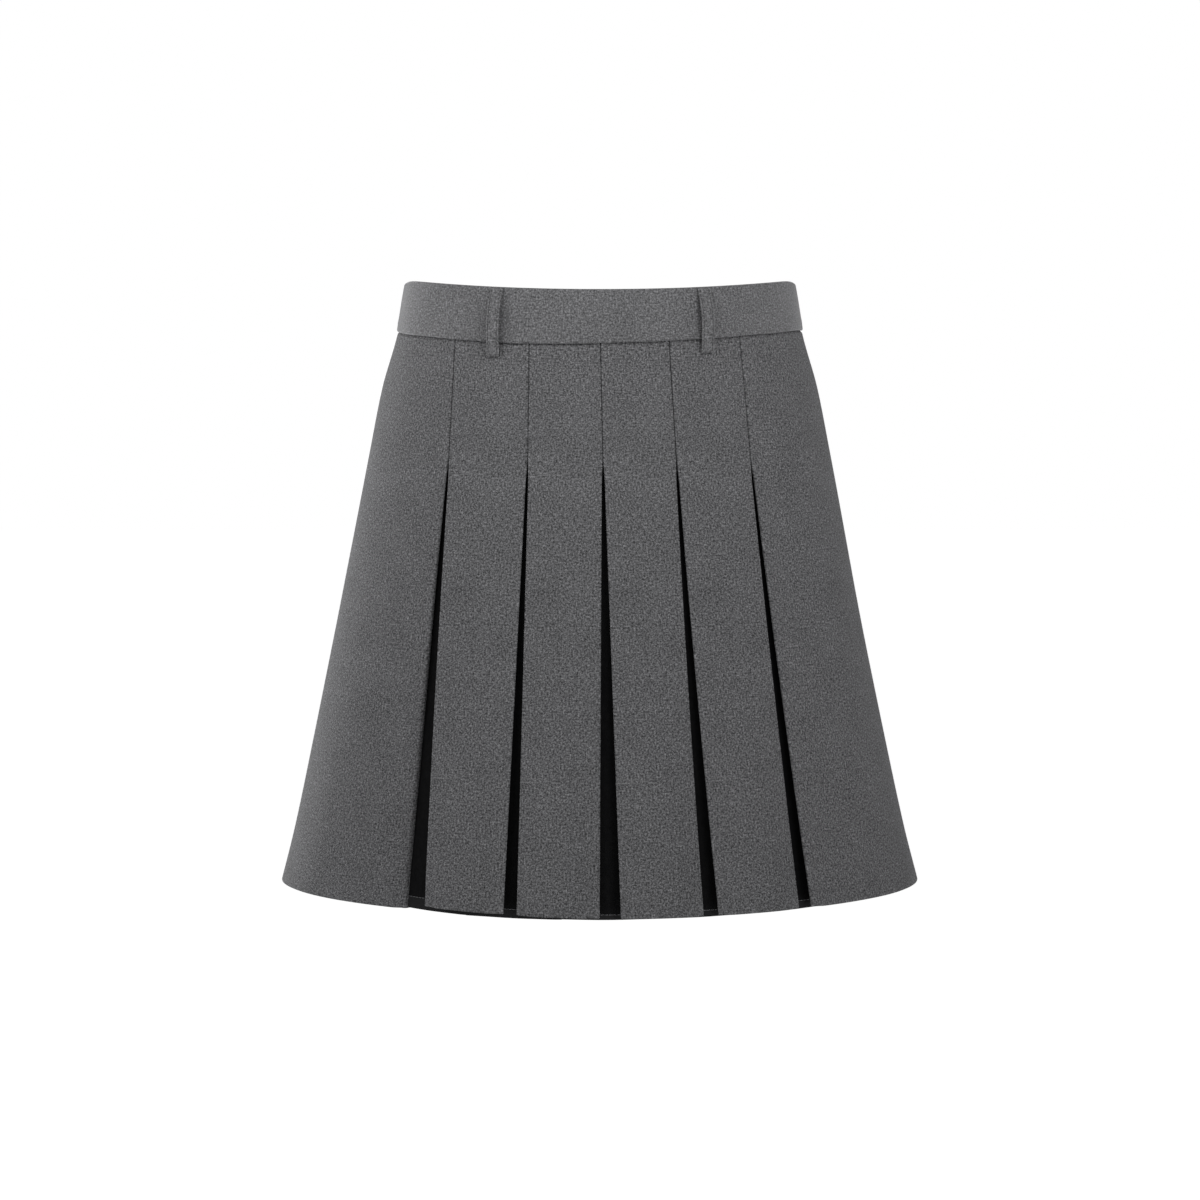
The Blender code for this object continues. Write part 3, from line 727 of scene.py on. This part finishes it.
for side in panels.values():
    for panel in side:
        panel.make()
print("panels made")


# Thread

stitchStart = 0.12  # of the pitch, before each stitch
stitchRings = (  # along the stitch, how far its middle stands out, and its thickness
    (0, -0.9, 0.55), (0.12, 0.1, 0.95), (0.5, 0.45, 1.0), (0.88, 0.1, 0.95), (1, -0.9, 0.55))


def ringsRound(centres, first, second, radius, sides):
    turns = np.linspace(0, 2 * math.pi, sides, endpoint=False)[:, None]
    return centres + radius * (np.cos(turns) * first + np.sin(turns) * second)


def makeThreads(name, threads, material):
    # closed threads, each given as its rings of points
    points, faces = [], []
    for rings in threads:
        base, sides = len(points), len(rings[0])
        points.extend(np.concatenate(rings).tolist())
        for ring in range(len(rings) - 1):
            for s in range(sides):
                a, b = base + ring * sides + s, base + ring * sides + (s + 1) % sides
                faces.append((a, b, b + sides, a + sides))
        faces.append([base + s for s in range(sides)][::-1])
        faces.append([base + (len(rings) - 1) * sides + s for s in range(sides)])
    mesh = bpy.data.meshes.new(name)
    mesh.from_pydata(points, [], faces)
    mesh.shade_smooth()
    mesh.materials.append(material)
    return finishPiece(bpy.data.objects.new(name, mesh), "skirt", [])


def makeStitches(name, lines, stitch, material):
    # Each line is (points, outward directions). A stitch is a short thread whose ends dive into the cloth.
    threads, radius, nearby = [], stitch["radius"] * mm, 0.2 * mm
    for line, outward in lines:
        along = lengthAlong(line)
        total = along[-1]

        def at(place, values):
            return np.array([np.interp(place, along, values[:, i]) for i in range(3)])

        count = int(total / (stitch["pitch"] * mm))
        for number in range(count):
            begins = (number + stitchStart) * total / count
            ends = (number + stitchStart + stitch["share"]) * total / count
            rings = []
            for share, lift, size in stitchRings:
                place = begins + (ends - begins) * share
                out = at(place, outward)
                out /= np.linalg.norm(out)
                ahead = at(min(place + nearby, total), line) - at(max(place - nearby, 0.0), line)
                ahead /= np.linalg.norm(ahead)
                centre = at(place, line) + out * lift * radius
                rings.append(ringsRound(centre, np.cross(ahead, out), out, size * radius, 6))
            threads.append(rings)
    return makeThreads(name, threads, material)


# Pleat inlays

inlays = {
    "cloth": 0.5,
    "top": -12.4,      # behind the waistband's lower edge
    "behindFolds": 2.2,
    "clear": 1.55,     # from the returns' middle to the inlay's
    "hems": {"front": (6.8, 5.0, 2.7, 3.6, 4.5), "back": (4.2, 5.4, 3.4, 5.8, 4.0)},  # height of the stitch line
    "fold": 0.45,
    "drops": {"front": (0.3, 0.3, 0.0, 0.0, 0.0), "back": (0.2, 0.0, 0.3, 0.0, 0.2)},  # how much lower each hangs
    "columns": 16,
    "rowStep": 5.0,
    "overlap": 2.0,    # beyond the returns' edges, where one inlay passes behind the next
    "passBehind": (0.8, 2.5),  # how deep and over what width
    "wave": 0.5,
    "dent": (0.18, 0.45),      # how deep the stitches draw it in, and how far up and down
    "stitch": {"radius": 0.20, "pitch": 2.6, "share": 0.94},
}


def makeInlay(side, number):
    before, after = panels[side][number - 1], panels[side][number]
    half, hemHeight = inlays["cloth"] / 2, inlays["hems"][side][number - 1]
    hem = seams["liningHem"] - inlays["drops"][side][number - 1]
    line = hem + hemHeight
    fine = [hem, hem + 0.7, line - 0.5, line, line + 0.5, seams["stitchesEnd"], inlays["top"]]
    even = np.arange(hem + 12, -17, inlays["rowStep"])
    heights = sorted(fine + [h for h in even if abs(h - seams["stitchesEnd"]) > 1.5])
    reach, (behindBy, behindOver), (dentDeep, dentHalf) = (inlays[part] for part in ("overlap", "passBehind", "dent"))
    share = np.linspace(0, 1, inlays["columns"] + 1)
    outer, inner, across = [], [], []
    for height in heights:
        level = max(height, seams["hem"])
        start = before.edges(level)[1] - before.returnWidth(level)
        end = after.edges(level)[0] + after.returnWidth(level)
        opens = gores["returnOpens"] * opened(level)
        first, last = (
            inlays["behindFolds"] + opens + 2 * gore.softness(level, isLast)[1] + inlays["clear"]
            + float(gore.sink(level, np.array([place]))[0])
            for gore, place, isLast in ((before, start, True), (after, end, False)))
        distance = start - reach + (end - start + 2 * reach) * share
        inset = first * (1 - share) + last * share
        inset = inset + behindBy * smoothStep((distance - end + behindOver) / behindOver)
        wave = np.sin(2 * math.pi * (share + 0.1 * number)) * np.sin(math.pi * share)
        inset = inset + inlays["wave"] * opened(level) * wave
        folded = inlays["fold"] * smoothStep((line - height) / 0.5)
        dent = dentDeep * math.exp(-((height - line) / dentHalf) ** 2)
        turn = turnAt(level, distance)
        z = np.full_like(turn, height) + tiltBelow(height, turn)
        outer.append(spot(z, turn, inset + (-half + dent - 0.3 * folded)))
        inner.append(spot(z, turn, inset + (half + folded)))
        cut = flatLength(distance, inset)
        across.append((cut - cut[-1] / 2) * mm)
    along = np.broadcast_to((np.array(heights) - line)[:, None] * mm, (len(heights), len(share)))
    name, row = f"{side}Inlay{number}", heights.index(line)
    # the inlay is a black lining whose near-black tone also paints the deep shade inside the pleats
    piece = makeCloth(name, outer, inner, across, along, liningPaintedShadeAndHemLight, "black_lining", [f"inlay_{side}_{number}"])
    # the pale stitches paint a highlight along the inlay's stitch line
    stitches = makeStitches(
        name + "Stitches", [(outer[row], outer[row] - inner[row])], inlays["stitch"], paleThreadPaintedHighlight)


for side in panels:
    for number in range(1, 6):
        makeInlay(side, number)
print("inlays made")


# Belt loops

loops = {
    "cloth": 0.5,
    "halfWidth": 4.0,
    "thick": 1.4,
    "top": 19.0,
    "bottom": -22.0,
    "crown": 0.12,
    "stitchLine": 2.75,
    "groove": (0.24, 0.32),     # how deep and wide the stitches draw it in
    "endReach": 0.8,            # where its ends close to a fold
    "endThin": 0.25,
    "stitch": {"radius": 0.17, "pitch": 2.7, "share": 0.76},
    # how far the strip's middle stands off the cloth along its length
    "share": (0, 0.08, 0.18, 0.30, 0.45, 0.58, 0.70, 0.80, 0.90, 1.0),
    "off": (1.9, 2.7, 4.2, 5.3, 5.8, 5.6, 4.8, 3.7, 2.5, 1.4),
    "places": (
        ("beltLoopFrontLeft", "belt_loop_front_left", False, -63.9, -66.4, "frontWaistband"),
        ("beltLoopFrontRight", "belt_loop_front_right", False, 64.3, 67.0, "frontWaistband"),
        ("beltLoopBackLeft", "belt_loop_back_left", True, 62.0, 64.0, "backWaistband"),
        ("beltLoopBackRight", "belt_loop_back_right", True, -62.0, -64.0, "backWaistband"),
    ),
}


def loopSection():
    # a strip folded edge to edge behind, as across and outward
    half, radius = loops["cloth"] / 2, (loops["thick"] - loops["cloth"]) / 2
    side = loops["halfWidth"] - half - radius
    angles = np.radians(np.arange(15, 180, 22.5))
    back, front = np.linspace(-0.15, -side, 5), np.linspace(-side, side, 23)
    deep, wide = loops["groove"]
    crown = loops["crown"] * (1 - (front / side) ** 2)
    crown = crown - deep * np.exp(-((np.abs(front) - loops["stitchLine"]) / wide) ** 2)
    across = np.concatenate([
        back, -side - radius * np.sin(angles), front, side + radius * np.sin(angles), -back[::-1]])
    behind = np.full(len(back), -radius)
    outward = np.concatenate([behind, -radius * np.cos(angles), radius + crown, radius * np.cos(angles), behind])
    return across, outward


def makeBeltLoop(name, node, behind, topX, bottomX, band):
    half, top, bottom = loops["cloth"] / 2, loops["top"], loops["bottom"]
    across, outward = loopSection()
    shares = np.concatenate([[0, 0.008, 0.02, 0.04], np.linspace(0.07, 0.93, 27), [0.96, 0.98, 0.992, 1.0]])[::-1]
    grids = []
    for sideAcross, sideOut in offsetPair(across, outward, -half, -half):
        rows = []
        for share in shares:
            height = top + (bottom - top) * share
            middle = distanceAt(height, turnOfX(height, topX + (bottomX - topX) * share, behind))
            off = float(softLine(share, loops["share"], loops["off"]))
            fromEnd = min(min(share, 1 - share) * (top - bottom) / loops["endReach"], 1)
            closing = loops["endThin"] + (1 - loops["endThin"]) * math.sqrt(max(1 - (1 - fromEnd) ** 2, 0))
            turn = turnAt(height, middle + sideAcross)
            tilt = float(seamTilt(turn.mean())) * float(smoothStep((5 - height) / 15))
            rows.append(spot(height + tilt, turn, -(off + sideOut * closing)))
        grids.append(np.array(rows))
    outer, inner = grids
    cut = flatLength(across, outward)
    widths = np.broadcast_to((cut - cut[-1] / 2) * mm, outer.shape[:2])
    lengths = np.broadcast_to(((top + (bottom - top) * shares) * mm)[:, None], outer.shape[:2])
    # the loops use the band's twill, whose lighter tone is painted light
    piece = makeCloth(name, outer, inner, widths, lengths, paintedLightBandTwill, "wool_twill", [node])
    lines = []
    for place in (-loops["stitchLine"], loops["stitchLine"]):
        column = int(np.argmin(np.where(outward > 0.3, np.abs(across - place), 9)))  # on its front
        lines.append((outer[2:-2, column], (outer - inner)[2:-2, column]))
    stitches = makeStitches(name + "Stitches", lines, loops["stitch"], darkThreadPaintedShade)


for place in loops["places"]:
    makeBeltLoop(*place)
print("belt loops made")


# Concealed zip. Sizes across are along the seam's own axes: x along the waist, y out of the cloth, z up it

zipParts = {
    "tapeHalf": 12.0,
    "tapeTop": 8.0,
    "tapeBottom": -178.0,
    "tapeRow": 4.0,
    "tapeCloth": 0.6,
    "groove": (0.35, 0.6),        # the two tapes meet in a shallow groove: how deep and wide
    "behindBand": 3.1,
    "behindGores": 2.5,
    "easing": (-30.0, 18.0),      # between the two: from this height, over this length
    "coil": {"radius": 0.9, "wire": 0.22, "pitch": 1.3, "bottom": -172.0, "top": 3.0,
             "behindTape": 0.95, "deep": 0.55, "aside": 0.62},
    "pinHeight": 12.5,
    "pinOut": 2.5,
    "pinRadius": 0.45,
    "pinLength": 3.0,
    "sliderBody": (5.4, 2.4, 6.9),
    "sliderIn": 3.8,
    "sliderShoulder": -2.2,       # where the neck starts to narrow
    "channel": (0.9, 1.1, 0.75),  # half width, depth, how far in
    "neckWidth": 1.0,
    "eyeRadius": 1.6,
    "eyeHole": 0.85,
    "pullThick": 0.95,
    "pullSlot": (0.8, -1.95),
    "pullOutline": (
        (0.9, 1.55), (0.2, 1.7), (-2.6, 1.65), (-4.4, 1.5), (-6.0, 1.5), (-10.0, 1.95), (-14.0, 2.55), (-17.5, 2.95)),
    "pullRim": 0.62,
    "pullRecess": 0.16,
    "recessTop": -5.9,
    "sliderSoftened": 0.16,       # how far tumbling rounds the castings' edges
    "pullSoftened": 0.12,
}


def zipAxes():
    seam, height = form["sideSeam"], zipParts["pinHeight"]
    low, high = Vector(spot(height - 1, seam)), Vector(spot(height + 1, seam))
    up = (high - low).normalized()
    along = Vector(spot(height, seam - 0.01)) - Vector(spot(height, seam + 0.01))
    along.z = 0.0
    along.normalize()
    out = up.cross(along).normalized()
    turned = Matrix((along, out, along.cross(out))).transposed().to_4x4()
    return Matrix.Translation(Vector(spot(height, seam)) + out * zipParts["pinOut"] * mm) @ turned


def tapeInset(height):
    # behind the gores, and a little further in behind the waistband
    begins, over = zipParts["easing"]
    return zipParts["behindGores"] + (
        zipParts["behindBand"] - zipParts["behindGores"]) * smoothStep((height - begins) / over)


def makeTape():
    half, (deep, wide) = zipParts["tapeCloth"] / 2, zipParts["groove"]
    bottom, top, step = zipParts["tapeBottom"], zipParts["tapeTop"], zipParts["tapeRow"]
    heights = np.concatenate([[bottom], np.arange(bottom + step, top - 1, step), [top]])
    side = np.concatenate([[0.12, 0.5], np.linspace(0.9, zipParts["tapeHalf"], 9)])
    across = np.concatenate([-side[::-1], side])
    rolled = deep * np.exp(-(across / wide) ** 2)
    outer, inner = [], []
    for height in heights:
        inset, turn = tapeInset(height), turnAt(height, distanceAt(height, form["sideSeam"]) + across)
        outer.append(spot(height, turn, inset - half + rolled))
        inner.append(spot(height, turn, inset + half + rolled))
    widths = np.broadcast_to(across * mm, (len(heights), len(across)))
    lengths = np.broadcast_to(heights[:, None] * mm, widths.shape)
    coil = makeCoil()
    piece = makeCloth("zipTape", outer, inner, widths, lengths, tapeWeave, "zip_tape", ["zip_tape"])


def makeCoil():
    # two coils of nylon wire behind the tape, each turn of one between two of the other
    coil, seam, perTurn = zipParts["coil"], form["sideSeam"], 10
    threads = []
    for hand in (-1, 1):
        turns = (coil["top"] - coil["bottom"]) / coil["pitch"]
        angles = np.linspace(0, 2 * math.pi * turns, int(turns * perTurn) + 1)
        height = coil["bottom"] + coil["pitch"] * angles / (2 * math.pi) + (coil["pitch"] / 2 if hand > 0 else 0)
        inset = tapeInset(height) + zipParts["tapeCloth"] / 2 + coil["behindTape"] + coil["deep"] * np.cos(angles)
        x = hand * (coil["aside"] - coil["radius"] * np.sin(angles))
        perMm = mm / np.linalg.norm(spot(height, seam + 0.5) - spot(height, seam - 0.5), axis=1)
        line = spot(height, seam + x * perMm, inset)
        ahead = np.gradient(line, axis=0)
        first = np.cross(ahead, (0, 0, 1))
        ahead, first = (v / np.linalg.norm(v, axis=1, keepdims=True) for v in (ahead, first))
        second = np.cross(ahead, first)
        threads.append(ringsRound(line[:, None], first[:, None], second[:, None], coil["wire"] * mm, 5))
    return makeThreads("zipCoil", threads, paleThreadPaintedHighlight)


def meshPiece(name, built):
    mesh = bpy.data.meshes.new(name)
    bmesh.ops.recalc_face_normals(built, faces=built.faces)
    built.to_mesh(mesh)
    built.free()
    return bpy.data.objects.new(name, mesh)


def plate(name, outline, thickness, axis, out=0.0):
    # an outline drawn in the plane across axis, with thickness along it, moved outwards
    built = bmesh.new()
    flat = []
    for a, b in outline:
        flat.append(built.verts.new(Vector((-thickness / 2, a, b) if axis == "X" else (a, -thickness / 2, b)) * mm))
    grown = bmesh.ops.extrude_face_region(built, geom=[built.faces.new(flat)])["geom"]
    step = Vector((thickness, 0, 0) if axis == "X" else (0, thickness, 0)) * mm
    bmesh.ops.translate(built, vec=step, verts=[g for g in grown if isinstance(g, bmesh.types.BMVert)])
    bmesh.ops.translate(built, vec=Vector((0, out, 0)) * mm, verts=built.verts)
    return meshPiece(name, built)


def rod(name, radius, sides):
    built = bmesh.new()
    bmesh.ops.create_cone(
        built, cap_ends=True, segments=sides, radius1=radius * mm, radius2=radius * mm,
        depth=zipParts["pinLength"] * mm, matrix=Matrix.Rotation(math.pi / 2, 4, "Y"))
    return meshPiece(name, built)


def carve(target, steps):
    # joins or cuts away each helper in turn, then keeps only the result
    scene = bpy.context.scene.collection
    scene.objects.link(target)
    for operation, helper in steps:
        scene.objects.link(helper)
        change = target.modifiers.new(helper.name, "BOOLEAN")
        change.operation, change.object, change.solver = operation, helper, "EXACT"
    evaluated = target.evaluated_get(bpy.context.evaluated_depsgraph_get())
    mesh = bpy.data.meshes.new_from_object(evaluated)
    made = bpy.data.objects.new(target.name + "Made", mesh)
    for helper in [target] + [h for _, h in steps]:
        bpy.data.objects.remove(helper, do_unlink=True)
    return made


def finishCasting(made, name, axes, softened, body, node):
    # puts a casting in its place and gives it soft edges and its lacquer
    made.name = name
    made.data.transform(axes)
    bevel = made.modifiers.new("softEdges", "BEVEL")
    bevel.width, bevel.segments = softened * mm, 2
    bevel.limit_method, bevel.angle_limit = "ANGLE", math.radians(40)
    made.data.shade_smooth()
    made.data.set_sharp_from_angle(angle=math.radians(50))
    made.data.materials.clear()
    made.data.materials.append(zincLacquer)
    finishPiece(made, body, [node])


def mirrored(side):
    # a closed outline from its right half, drawn from the top down to the middle
    return side + [(-x, z) for x, z in reversed(side[:-1])]


def makeSlider(axes):
    # a cast body that tapers to its tail, with a neck through the notch that ends in an eye
    width, depth, height = zipParts["sliderBody"]
    back, shoulder, eye = -zipParts["pinOut"] - zipParts["sliderIn"], zipParts["sliderShoulder"], zipParts["eyeRadius"]
    body = plate("sliderBody", [
        (-width / 2, height * 0.38), (-width * 0.36, height / 2), (width * 0.36, height / 2),
        (width / 2, height * 0.38), (width / 2, 0.0), (width * 0.34, -height / 2), (-width * 0.34, -height / 2),
        (-width / 2, 0.0)], depth, "Y", back)
    profile = [(back, -eye * 1.15), (shoulder, -eye * 0.9)]
    profile += [(eye * math.sin(a), -eye * math.cos(a)) for a in np.linspace(0, math.pi, 15)]
    profile += [(shoulder, eye * 0.9), (back, eye * 1.15)]
    neck = plate("sliderNeck", profile, zipParts["neckWidth"], "X")
    half, deep, inwards = zipParts["channel"]
    channel = plate("sliderChannel", [
        (-half, -height), (half, -height), (half, height), (-half, height)], deep, "Y", back - inwards)
    hole = rod("sliderHole", zipParts["eyeHole"], 28)
    made = carve(body, [("UNION", neck), ("DIFFERENCE", hole), ("DIFFERENCE", channel)])
    finishCasting(made, "zipSlider", axes, zipParts["sliderSoftened"], "skirt", "zip_slider")


def makePull(axes):
    # a flat tab with a raised rim, forked round the slider's eye and hanging from a pin through it
    side = [(half, up) for up, half in zipParts["pullOutline"]]
    radius, centre = side[-1]

    def roundEnd(radius, steps):
        return [(radius * math.cos(a), centre - radius * math.sin(a)) for a in np.linspace(0, math.pi / 2, steps)[1:]]

    thick, rim, cut = zipParts["pullThick"], zipParts["pullRim"], 0.6  # the cutters are thicker than the recess
    inside = [(half - rim, up) for half, up in side if up < zipParts["recessTop"]] + roundEnd(radius - rim, 8)
    tab = plate("pullTab", mirrored(side + roundEnd(radius, 10)), thick, "Y")
    slotHalf, slotBottom = zipParts["pullSlot"]
    slot = plate("pullSlot", [(-slotHalf, 3.0)] + [
        (slotHalf * math.cos(a), slotBottom + slotHalf + slotHalf * math.sin(a))
        for a in np.linspace(math.pi, 2 * math.pi, 11)] + [(slotHalf, 3.0)], 4.0, "Y")
    steps = [("DIFFERENCE", slot)]
    for face in (-1, 1):
        out = face * (thick / 2 + cut / 2 - zipParts["pullRecess"])
        steps.append(("DIFFERENCE", plate(f"pullRecess{face + 1}", mirrored(inside), cut, "Y", out)))
    steps.append(("UNION", rod("pullPin", zipParts["pinRadius"], 20)))
    finishCasting(carve(tab, steps), "zipPull", axes, zipParts["pullSoftened"], "zip_pull", "zip_pull")


makeTape()
axes = zipAxes()
makeSlider(axes)
makePull(axes)
print("zip made")


# Floor, light and camera

studio = {
    "floorHeight": -1.02,   # the waist hangs as high as when the skirt is worn
    "floorGlow": (1.0, 1.5),  # the paper brightens to white between these distances
    "fill": 0.01,
    "lights": (
        # name, place, width and height, watts, aim
        ("topLeftLight", (-0.6, -0.85, 0.85), (0.25, 0.25), 2.1, (0, 0, -0.1)),
        ("topRightLight", (0.6, -0.85, 0.85), (0.5, 0.4), 6.25, (0, 0, -0.1)),
        ("highLeftLight", (-0.75, -0.3, 0.6), (0.25, 0.25), 2.35, (-0.1, 0, 0)),
        ("leftLowLight", (-0.85, 0.55, -0.2), (0.5, 0.6), 4.4, (0, 0, -0.27)),
    ),
    "cameraPlace": (0.0, -2.15, 0.0135),
    "cameraAim": (0.0, 0.0, -0.1896),
    "lens": 98.715,
}


def placeAimed(name, data, place, aim):
    made = bpy.data.objects.new(name, data)
    made.location = place
    made.rotation_euler = (Vector(aim) - Vector(place)).to_track_quat("-Z", "Y").to_euler()
    bpy.context.scene.collection.objects.link(made)
    return made


def makeWorld():
    # white to the camera and only a faint fill light on the cloth
    world = bpy.data.worlds.new("softWhite")
    bpy.context.scene.world = world
    world.use_nodes = True
    tree = world.node_tree
    ray = addNode(tree, "ShaderNodeLightPath")
    strength = addNode(tree, "ShaderNodeMapRange", None, {
        "Value": ray.outputs["Is Camera Ray"], "To Min": studio["fill"], "To Max": 1.0})
    plug(tree, tree.nodes["Background"], {"Color": toLinear("#ffffff"), "Strength": strength.outputs["Result"]})


def makeFloor():
    # Pale matt paper that melts into the white further out.
    paper, tree, shader = newMaterial("paleFloorPaper")
    place = addNode(tree, "ShaderNodeTexCoord").outputs["Object"]
    grain = addNode(tree, "ShaderNodeTexNoise", None, {"Vector": place, "Scale": 40.0})
    shade = addNode(tree, "ShaderNodeMix", {"data_type": "RGBA"}, {
        0: grain.outputs[0], 6: toLinear("#f4f4f4"), 7: toLinear("#fafafa")})
    away = addNode(tree, "ShaderNodeVectorMath", {"operation": "LENGTH"}, {0: place})
    near, far = studio["floorGlow"]
    glow = addNode(tree, "ShaderNodeMapRange", {"interpolation_type": "SMOOTHSTEP"}, {
        "Value": away.outputs["Value"], "From Min": near, "From Max": far, "To Min": 0.0, "To Max": 1.0})
    plug(tree, shader, {
        "Base Color": shade.outputs[2], "Roughness": 0.9,
        "Emission Color": toLinear("#ffffff"), "Emission Strength": glow.outputs["Result"]})
    mesh = bpy.data.meshes.new("floor")
    mesh.from_pydata([(-12, -12, 0), (12, -12, 0), (12, 12, 0), (-12, 12, 0)], [], [(0, 1, 2, 3)])
    mesh.materials.append(paper)
    floor = bpy.data.objects.new("floor", mesh)
    floor.location.z = studio["floorHeight"]
    bpy.context.scene.collection.objects.link(floor)


makeWorld()
makeFloor()
for name, place, size, watts, aim in studio["lights"]:
    light = bpy.data.lights.new(name, "AREA")
    light.energy, light.shape = watts, "RECTANGLE"
    light.size, light.size_y = size
    placeAimed(name, light, place, aim)
lens = bpy.data.cameras.new("camera")
lens.lens, lens.sensor_width, lens.clip_start, lens.clip_end = studio["lens"], 36.0, 0.05, 60.0
bpy.context.scene.camera = placeAimed("camera", lens, studio["cameraPlace"], studio["cameraAim"])
bpy.context.scene.view_settings.view_transform = "Standard"
print("studio made")
